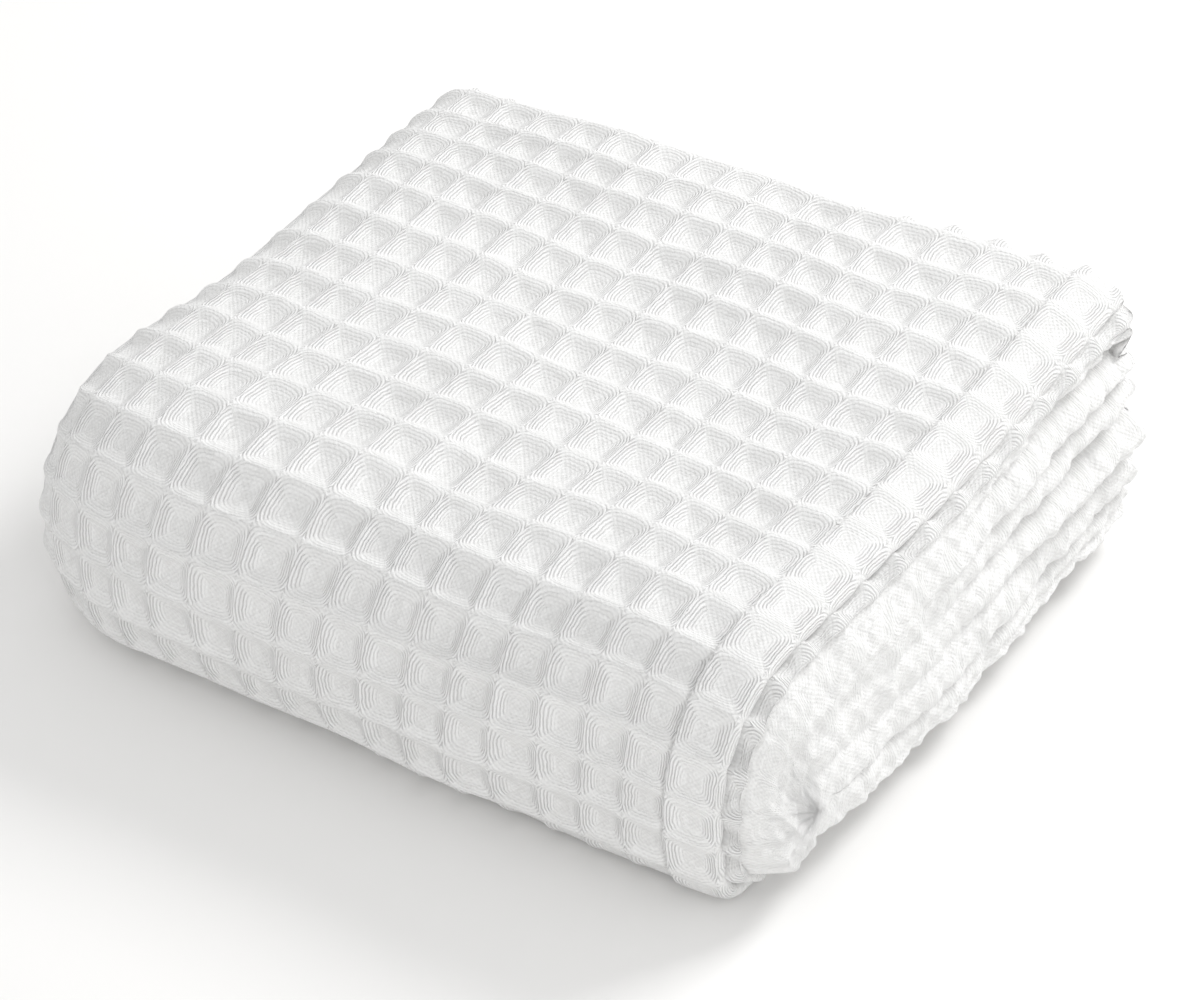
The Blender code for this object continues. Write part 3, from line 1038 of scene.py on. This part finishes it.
class BLANKET_OT_cover(bpy.types.Operator):
    """Makes the blanket's cloth: the ply that shows, with its hem, and the layers inside"""

    bl_idname = "blanket.cover"
    bl_label = "Blanket Cloth"

    def execute(self, context):
        sizes = context.scene.blanket_sizes
        *_, first_x, last_x, first_s, last_s = cover_stops()
        heel = FOREMOST + UNDERSIDE_FROM
        span = last_x - first_x
        # Columns as wide as the weave needs, with SEAM_COLUMNS more in the band at the seam.
        seam_at = (sizes.seam_x - first_x) / span
        low, high = seam_at - SEAM_BAND / span, seam_at + SEAM_BAND / span
        plain = round(span / (sizes.cell_width / COVER_STEPS))
        columns = plain + SEAM_COLUMNS
        ways = (0.0, low * plain / columns, 1.0 - (1.0 - high) * plain / columns, 1.0)
        top_rows = round((heel - first_s) / (sizes.cell_length / COVER_STEPS))
        under_rows = round((last_s - heel) / (sizes.cell_length / UNDERSIDE_STEPS))
        rows = top_rows + under_rows

        def place(u, v):
            x = first_x + span * np.interp(u, ways, (0.0, low, high, 1.0))
            along = np.interp(v * rows, (0, top_rows, rows), (first_s, heel, last_s))
            return cover_place(x, along, sizes)

        waffle = cotton_cloth(COVER_COTTON, context.scene.blanket_colours, sizes, 1.0, 0.4)
        bm = grid_sheet(columns, rows, place, turned_over=True)
        inner_layers(bm, sizes)
        cover = linked("blanket_cloth", bm, waffle)
        finished(cover)
        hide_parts(NODE)
        return {"FINISHED"}


class BLANKET_OT_folds(bpy.types.Operator):
    """Makes the rim of plies that shows round the ends and the back"""

    bl_idname = "blanket.folds"
    bl_label = "Blanket Folds"

    def execute(self, context):
        sizes = context.scene.blanket_sizes
        colours = context.scene.blanket_colours
        waffle = bpy.data.materials[COVER_COTTON]
        soft = cotton_cloth("white_cotton_folds", colours, sizes, 0.45, 3.0)
        for name, columns, rows, points, cotton in (
            ("second_ply", 1000, 18, second_ply_points, waffle),
            ("inner_folds", 1200, 80, folds_points, soft),
        ):
            bm = grid_sheet(columns, rows, lambda u, v: points(u, v, sizes), closed=True)
            finished(linked(name, bm, cotton))
        return {"FINISHED"}


class BLANKET_OT_stitches(bpy.types.Operator):
    """Sews the hem with one line of stitches"""

    bl_idname = "blanket.stitches"
    bl_label = "Hem Stitches"

    def execute(self, context):
        sizes = context.scene.blanket_sizes
        along = np.arange(BACK_ROLL, AROUND - BACK_ROLL, STITCH_GAP * sizes.stitch_length)
        x = np.full_like(along, sizes.seam_x)
        middles = cover_place(x, along, sizes)[0]
        ahead = cover_place(x, along + 0.0004, sizes)[0]
        thick = Vector((sizes.stitch_length / 2, THREAD_RADIUS, THREAD_RADIUS))
        bm = bmesh.new()
        for middle, next_place in zip(middles, ahead):
            turn = Vector(next_place - middle).to_track_quat("X", "Z")
            place = Matrix.LocRotScale(Vector(middle), turn, thick)
            bmesh.ops.create_uvsphere(bm, u_segments=8, v_segments=6, radius=1.0, matrix=place)
        for stitch_face in bm.faces:
            stitch_face.smooth = True
        thread = cotton_thread(context.scene.blanket_colours)
        finished(linked("hem_stitches", bm, thread))
        return {"FINISHED"}


class BLANKET_OT_declare(bpy.types.Operator):
    """Takes no step of its own; it only returns."""

    bl_idname = "blanket.declare"
    bl_label = "Blanket Cut Size"

    def execute(self, context):
        return {"FINISHED"}


class BLANKET_OT_stage(bpy.types.Operator):
    """Makes the floor, the lights and the camera"""

    bl_idname = "blanket.stage"
    bl_label = "Floor, Lights and Camera"

    def execute(self, context):
        scene = context.scene
        material = bpy.data.materials.new("pale_floor")
        _, shader = nodes_of(material)
        shader.inputs["Base Color"].default_value = (*scene.blanket_colours.floor, 1.0)
        shader.inputs["Roughness"].default_value = 0.8
        shader.inputs["Specular IOR Level"].default_value = 0.1
        bm = bmesh.new()
        bmesh.ops.create_grid(bm, x_segments=1, y_segments=1, size=FLOOR_REACH)
        linked("floor", bm, material)
        world = bpy.data.worlds.new("studio")
        world.use_nodes = True
        background = world.node_tree.nodes["Background"]
        background.inputs["Color"].default_value = (1.0, 1.0, 1.0, 1.0)
        background.inputs["Strength"].default_value = STUDIO_LIGHT
        scene.world = world
        for name, place, energy, size in LAMPS:
            light = bpy.data.lights.new(name, "AREA")
            light.energy, light.size = energy, size
            lamp = bpy.data.objects.new(name, light)
            lamp.location = place
            lamp.rotation_mode = "QUATERNION"
            lamp.rotation_quaternion = (-Vector(place)).to_track_quat("-Z", "Y")
            scene.collection.objects.link(lamp)
        azimuth, elevation = (math.radians(angle) for angle in CAMERA_ANGLES)
        target = Vector(CAMERA_TARGET)
        back = Vector((
            math.sin(azimuth) * math.cos(elevation),
            -math.cos(azimuth) * math.cos(elevation),
            math.sin(elevation),
        ))
        camera = bpy.data.cameras.new("camera")
        camera.sensor_width, camera.lens = CAMERA_SENSOR, CAMERA_LENS
        camera.clip_start, camera.clip_end = 0.05, 50.0
        holder = bpy.data.objects.new("camera", camera)
        right = Vector((math.cos(azimuth), math.sin(azimuth), 0.0))
        up = back.cross(right)
        turn = Matrix((right, up, back)).transposed().to_4x4()
        holder.matrix_world = Matrix.Translation(target + back * CAMERA_DISTANCE) @ turn
        scene.collection.objects.link(holder)
        scene.camera = holder
        scene.view_settings.view_transform = "Standard"
        return {"FINISHED"}


class BLANKET_PT_panel(bpy.types.Panel):
    """Lists the blanket's sizes, colours and steps"""

    bl_label = "Folded Waffle Blanket"
    bl_space_type = "VIEW_3D"
    bl_region_type = "UI"
    bl_category = "Blanket"

    def draw(self, context):
        layout = self.layout
        for group in (context.scene.blanket_sizes, context.scene.blanket_colours):
            for name in group.__annotations__:
                layout.prop(group, name)
        for step in STEPS:
            layout.operator(step.bl_idname)


STEPS = (
    BLANKET_OT_cover,
    BLANKET_OT_folds,
    BLANKET_OT_stitches,
    BLANKET_OT_stage,
    BLANKET_OT_declare,
)
CLASSES = (BlanketSizes, BlanketColours, *STEPS, BLANKET_PT_panel)


def register():
    for item in CLASSES:
        bpy.utils.register_class(item)
    bpy.types.Scene.blanket_sizes = PointerProperty(type=BlanketSizes)
    bpy.types.Scene.blanket_colours = PointerProperty(type=BlanketColours)


def unregister():
    del bpy.types.Scene.blanket_colours
    del bpy.types.Scene.blanket_sizes
    for item in reversed(CLASSES):
        bpy.utils.unregister_class(item)


def main():
    register()
    bpy.ops.blanket.cover()
    bpy.ops.blanket.folds()
    bpy.ops.blanket.stitches()
    bpy.ops.blanket.stage()
    bpy.ops.blanket.declare()


if __name__ == "__main__":
    main()
